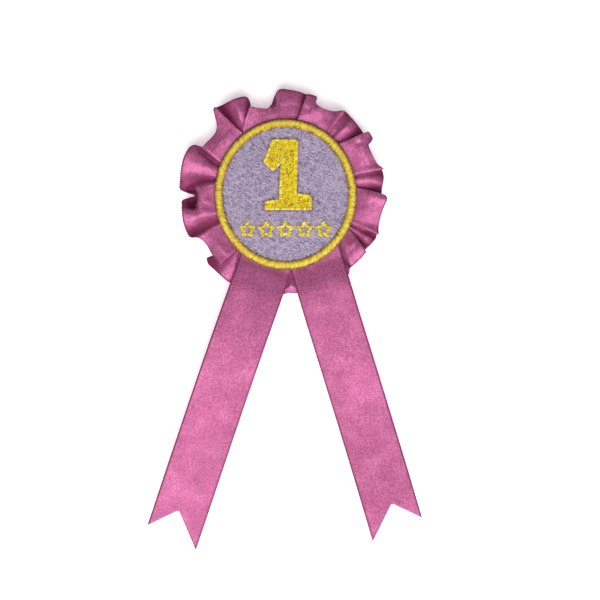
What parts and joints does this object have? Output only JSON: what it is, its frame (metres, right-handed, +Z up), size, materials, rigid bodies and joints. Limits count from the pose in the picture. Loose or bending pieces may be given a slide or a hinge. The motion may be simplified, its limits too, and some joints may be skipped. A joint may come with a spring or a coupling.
{
  "type": "award rosette ribbon",
  "caption": "Award rosette with a gathered satin ruffle, an embroidered numeral patch, swallow-tailed ribbon tails and a bar pin.",
  "frame": {"origin": "on the axis of the closed brooch needle, half way along it", "axes": "+X to the right as the patch is looked at, +Z up, the patch faces -Y and the needle is on the back"},
  "size_m": [0.1269, 0.0138, 0.2131],
  "materials": {
    "satin_ribbon": "satin",
    "yellow_thread": "satin",
    "lilac_thread": "satin",
    "sewing_thread": "matte",
    "patch_twill": "matte",
    "buckram": "matte",
    "hot_glue": "translucent",
    "grey_board": "matte",
    "felt": "matte",
    "nickel_steel": "polished"
  },
  "bodies": {
    "rosette": {"ruffle_ribbon": "satin_ribbon", "gathering_thread": "sewing_thread", "centre_pad": "buckram", "tail_left_anchor": "satin_ribbon", "tail_right_anchor": "satin_ribbon", "tail_stitches": "sewing_thread", "patch_glue": "hot_glue", "patch_stiffener": "buckram", "patch_base_cloth": "patch_twill", "patch_fill": "lilac_thread", "patch_border": "yellow_thread", "numeral_fill": "yellow_thread", "numeral_outline": "yellow_thread", "star_row": "yellow_thread", "mounting_card": "grey_board", "backing_felt": "felt", "pin_bar": "nickel_steel", "bar_stitches": "sewing_thread", "hinge_bracket": "nickel_steel", "hinge_rivet": "nickel_steel", "catch_post": "nickel_steel"},
    "needle": {"pin_needle": "nickel_steel"},
    "catch": {"catch_barrel": "nickel_steel"},
    "left_tail": {"tail_left": "satin_ribbon"},
    "right_tail": {"tail_right": "satin_ribbon"}
  },
  "joints": [
    {"name": "needle_swing", "type": "hinge", "parent": "rosette", "child": "needle", "pos_m": [0.015, 0, 0], "axis": [0, 0, -1], "range_deg": [0, 110]},
    {"name": "catch_turn", "type": "hinge", "parent": "rosette", "child": "catch", "pos_m": [-0.0142, 0, 0], "axis": [-1, 0, 0], "range_deg": [0, 150]},
    {"name": "tail_left_lift", "type": "hinge", "parent": "rosette", "child": "left_tail", "pos_m": [-0.00995, -0.00805, -0.04596], "axis": [-0.9455, 0, 0.3256], "range_deg": [0, 80]},
    {"name": "tail_right_lift", "type": "hinge", "parent": "rosette", "child": "right_tail", "pos_m": [0.01462, -0.00805, -0.04451], "axis": [-0.9573, 0, -0.289], "range_deg": [0, 80]}
  ]
}
